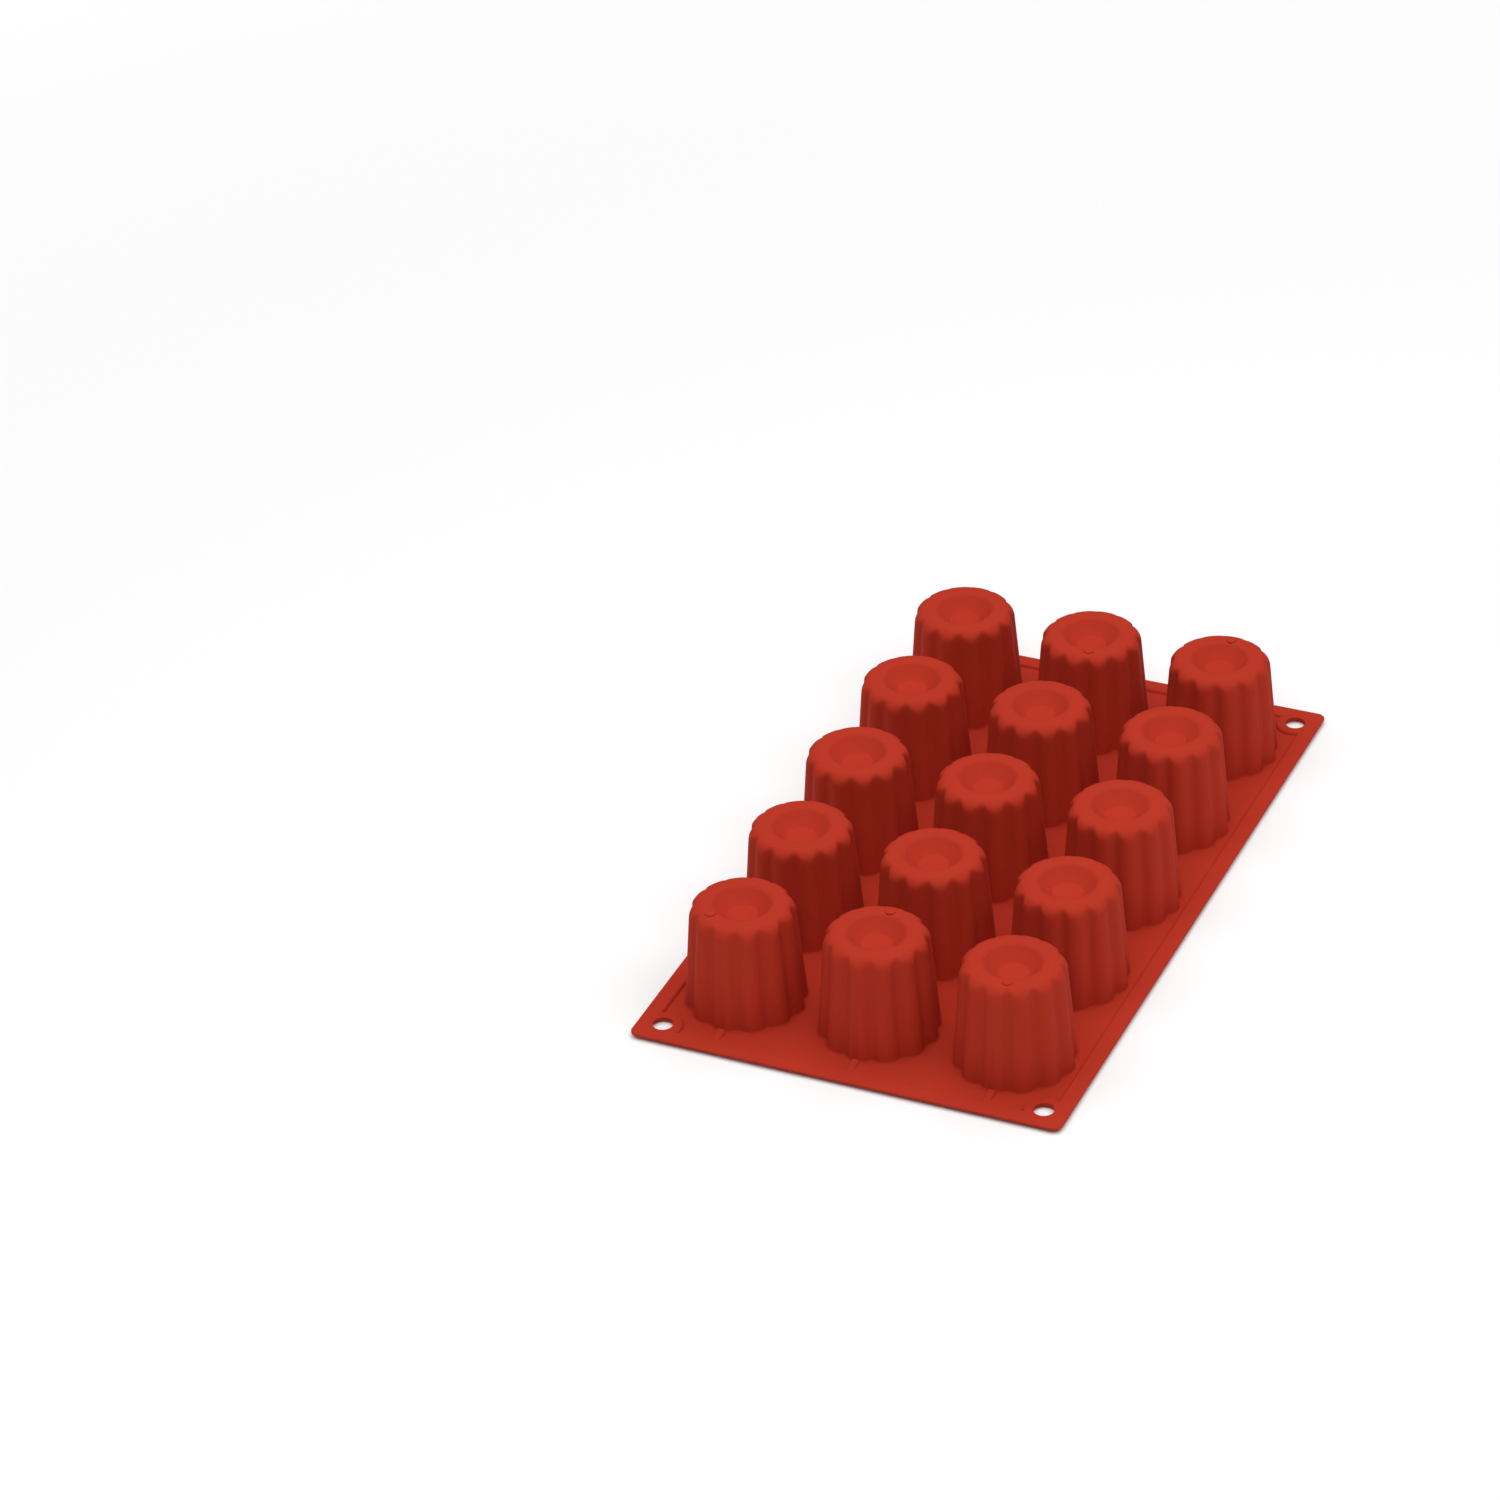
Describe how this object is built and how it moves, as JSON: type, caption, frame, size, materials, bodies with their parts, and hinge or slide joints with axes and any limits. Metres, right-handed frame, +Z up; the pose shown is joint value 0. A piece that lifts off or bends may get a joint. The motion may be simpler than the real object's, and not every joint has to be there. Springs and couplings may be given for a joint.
{
  "type": "canele mould",
  "caption": "Flexible one-piece baking mould: a thin rectangular sheet with rows of tapered fluted cups, a dished crown on each cup and a hanging hole at each corner.",
  "frame": {"origin": "middle of the rest face, the level rim that the cavities open through", "axes": "+X along the sheet's long side, +Y along its short side, +Z up from the rest face towards the crowns of the cups"},
  "size_m": [0.3, 0.175, 0.046],
  "materials": {
    "silicone": "matte"
  },
  "bodies": {
    "root": {"canele_mould": "silicone"}
  },
  "joints": []
}
